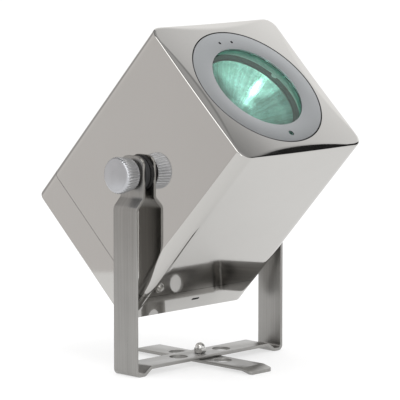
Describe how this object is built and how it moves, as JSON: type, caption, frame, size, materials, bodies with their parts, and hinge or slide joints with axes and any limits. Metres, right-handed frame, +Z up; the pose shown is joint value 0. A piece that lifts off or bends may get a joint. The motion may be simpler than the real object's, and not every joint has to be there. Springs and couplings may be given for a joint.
{
  "type": "underwater pond light",
  "caption": "Square mirror-polished underwater light with a round glass front, tilting in a bent-strap stand with hand knobs and a swivelling cross strap.",
  "frame": {"origin": "middle of the footprint, on the ground under the feet", "axes": "+Z up; the light shines towards -Y and upwards; +X runs along the tilt axis"},
  "size_m": [0.2278, 0.2756, 0.3274],
  "materials": {
    "mirror_steel": "mirror-polished stainless steel sheet",
    "brushed_steel": "stainless steel flat, brushed along its length",
    "satin_steel": "satin bead-blasted stainless steel",
    "knob_steel": "satin turned stainless steel",
    "bright_fastener": "bright stainless steel",
    "black_rubber": "matte black rubber",
    "dark_seal": "dark grey flat seal",
    "green_glass": "clear toughened glass with a green tint in its thickness",
    "reflector_mirror": "bright anodised aluminium",
    "cast_aluminium": "turned aluminium",
    "circuit_board": "green solder mask",
    "phosphor": "yellow phosphor",
    "black_plastic": "moulded black plastic",
    "nickel_brass": "nickel-plated brass"
  },
  "bodies": {
    "stand": {"u_bracket": "brushed_steel", "centre_bolt": "bright_fastener", "cap_nut": "bright_fastener"},
    "cross_strap": {"cross_strap": "brushed_steel"},
    "head": {"housing_shell": "mirror_steel", "rear_cover": "mirror_steel", "seam_sleeve": "brushed_steel", "bezel_ring": "satin_steel", "bezel_lock_screw": "bright_fastener", "lens_glass": "green_glass", "front_gasket": "black_rubber", "seat_seal": "dark_seal", "locating_dowel": "bright_fastener", "reflector": "reflector_mirror", "reflector_holder": "cast_aluminium", "led_board": "circuit_board", "led_emitter": "phosphor", "heat_sink": "cast_aluminium", "sink_retaining_ring": "brushed_steel", "lamp_can": "cast_aluminium", "can_rear_cap": "cast_aluminium", "can_sealing_ring": "black_rubber", "driver_module": "black_plastic", "terminal_block": "black_plastic", "driver_tray": "cast_aluminium", "cover_pillar_1": "bright_fastener", "cover_screw_1": "bright_fastener", "front_stud_1": "bright_fastener", "front_nut_1": "bright_fastener", "cover_pillar_2": "bright_fastener", "cover_screw_2": "bright_fastener", "front_stud_2": "bright_fastener", "front_nut_2": "bright_fastener", "cover_pillar_3": "bright_fastener", "cover_screw_3": "bright_fastener", "front_stud_3": "bright_fastener", "front_nut_3": "bright_fastener", "cover_pillar_4": "bright_fastener", "cover_screw_4": "bright_fastener", "front_stud_4": "bright_fastener", "front_nut_4": "bright_fastener", "can_gland_body": "nickel_brass", "can_gland_locknut": "nickel_brass", "can_gland_nut": "nickel_brass", "can_gland_seal": "black_rubber", "cover_gland_body": "nickel_brass", "cover_gland_locknut": "nickel_brass", "cover_gland_nut": "nickel_brass", "cover_gland_seal": "black_rubber", "pivot_boss_left": "brushed_steel", "pivot_stud_left": "bright_fastener", "friction_washer_left": "black_rubber", "pivot_boss_right": "brushed_steel", "pivot_stud_right": "bright_fastener", "friction_washer_right": "black_rubber"},
    "thrust_washer_left": {"thrust_washer_left": "bright_fastener"},
    "knob_left": {"knob_left": "knob_steel"},
    "thrust_washer_right": {"thrust_washer_right": "bright_fastener"},
    "knob_right": {"knob_right": "knob_steel"}
  },
  "joints": [
    {"name": "head_tilt", "type": "hinge", "parent": "stand", "child": "head", "pos_m": [0, -0.00273, 0.191], "axis": [1, 0, 0], "range_deg": [-178, 92]},
    {"name": "cross_strap_swivel", "type": "hinge", "parent": "stand", "child": "cross_strap", "pos_m": [0, -0.00273, 0.0042], "axis": [0, 0, 1], "range_deg": [-90, 90]},
    {"name": "knob_left_travel", "type": "slide", "parent": "head", "child": "thrust_washer_left", "axis": [-1, 0, 0], "range_m": [0, 0.00251]},
    {"name": "knob_left_turn", "type": "hinge", "parent": "thrust_washer_left", "child": "knob_left", "pos_m": [-0.1045, -0.00273, 0.191], "axis": [-1, 0, 0], "range_deg": [0, 720]},
    {"name": "knob_right_travel", "type": "slide", "parent": "head", "child": "thrust_washer_right", "axis": [1, 0, 0], "range_m": [0, 0.00251]},
    {"name": "knob_right_turn", "type": "hinge", "parent": "thrust_washer_right", "child": "knob_right", "pos_m": [0.1045, -0.00273, 0.191], "axis": [1, 0, 0], "range_deg": [0, 720]}
  ],
  "couplings": [
    {"joint": "knob_left_travel", "follows": "knob_left_turn", "m_per_rad": 0.00019894},
    {"joint": "knob_right_travel", "follows": "knob_right_turn", "m_per_rad": 0.00019894}
  ]
}
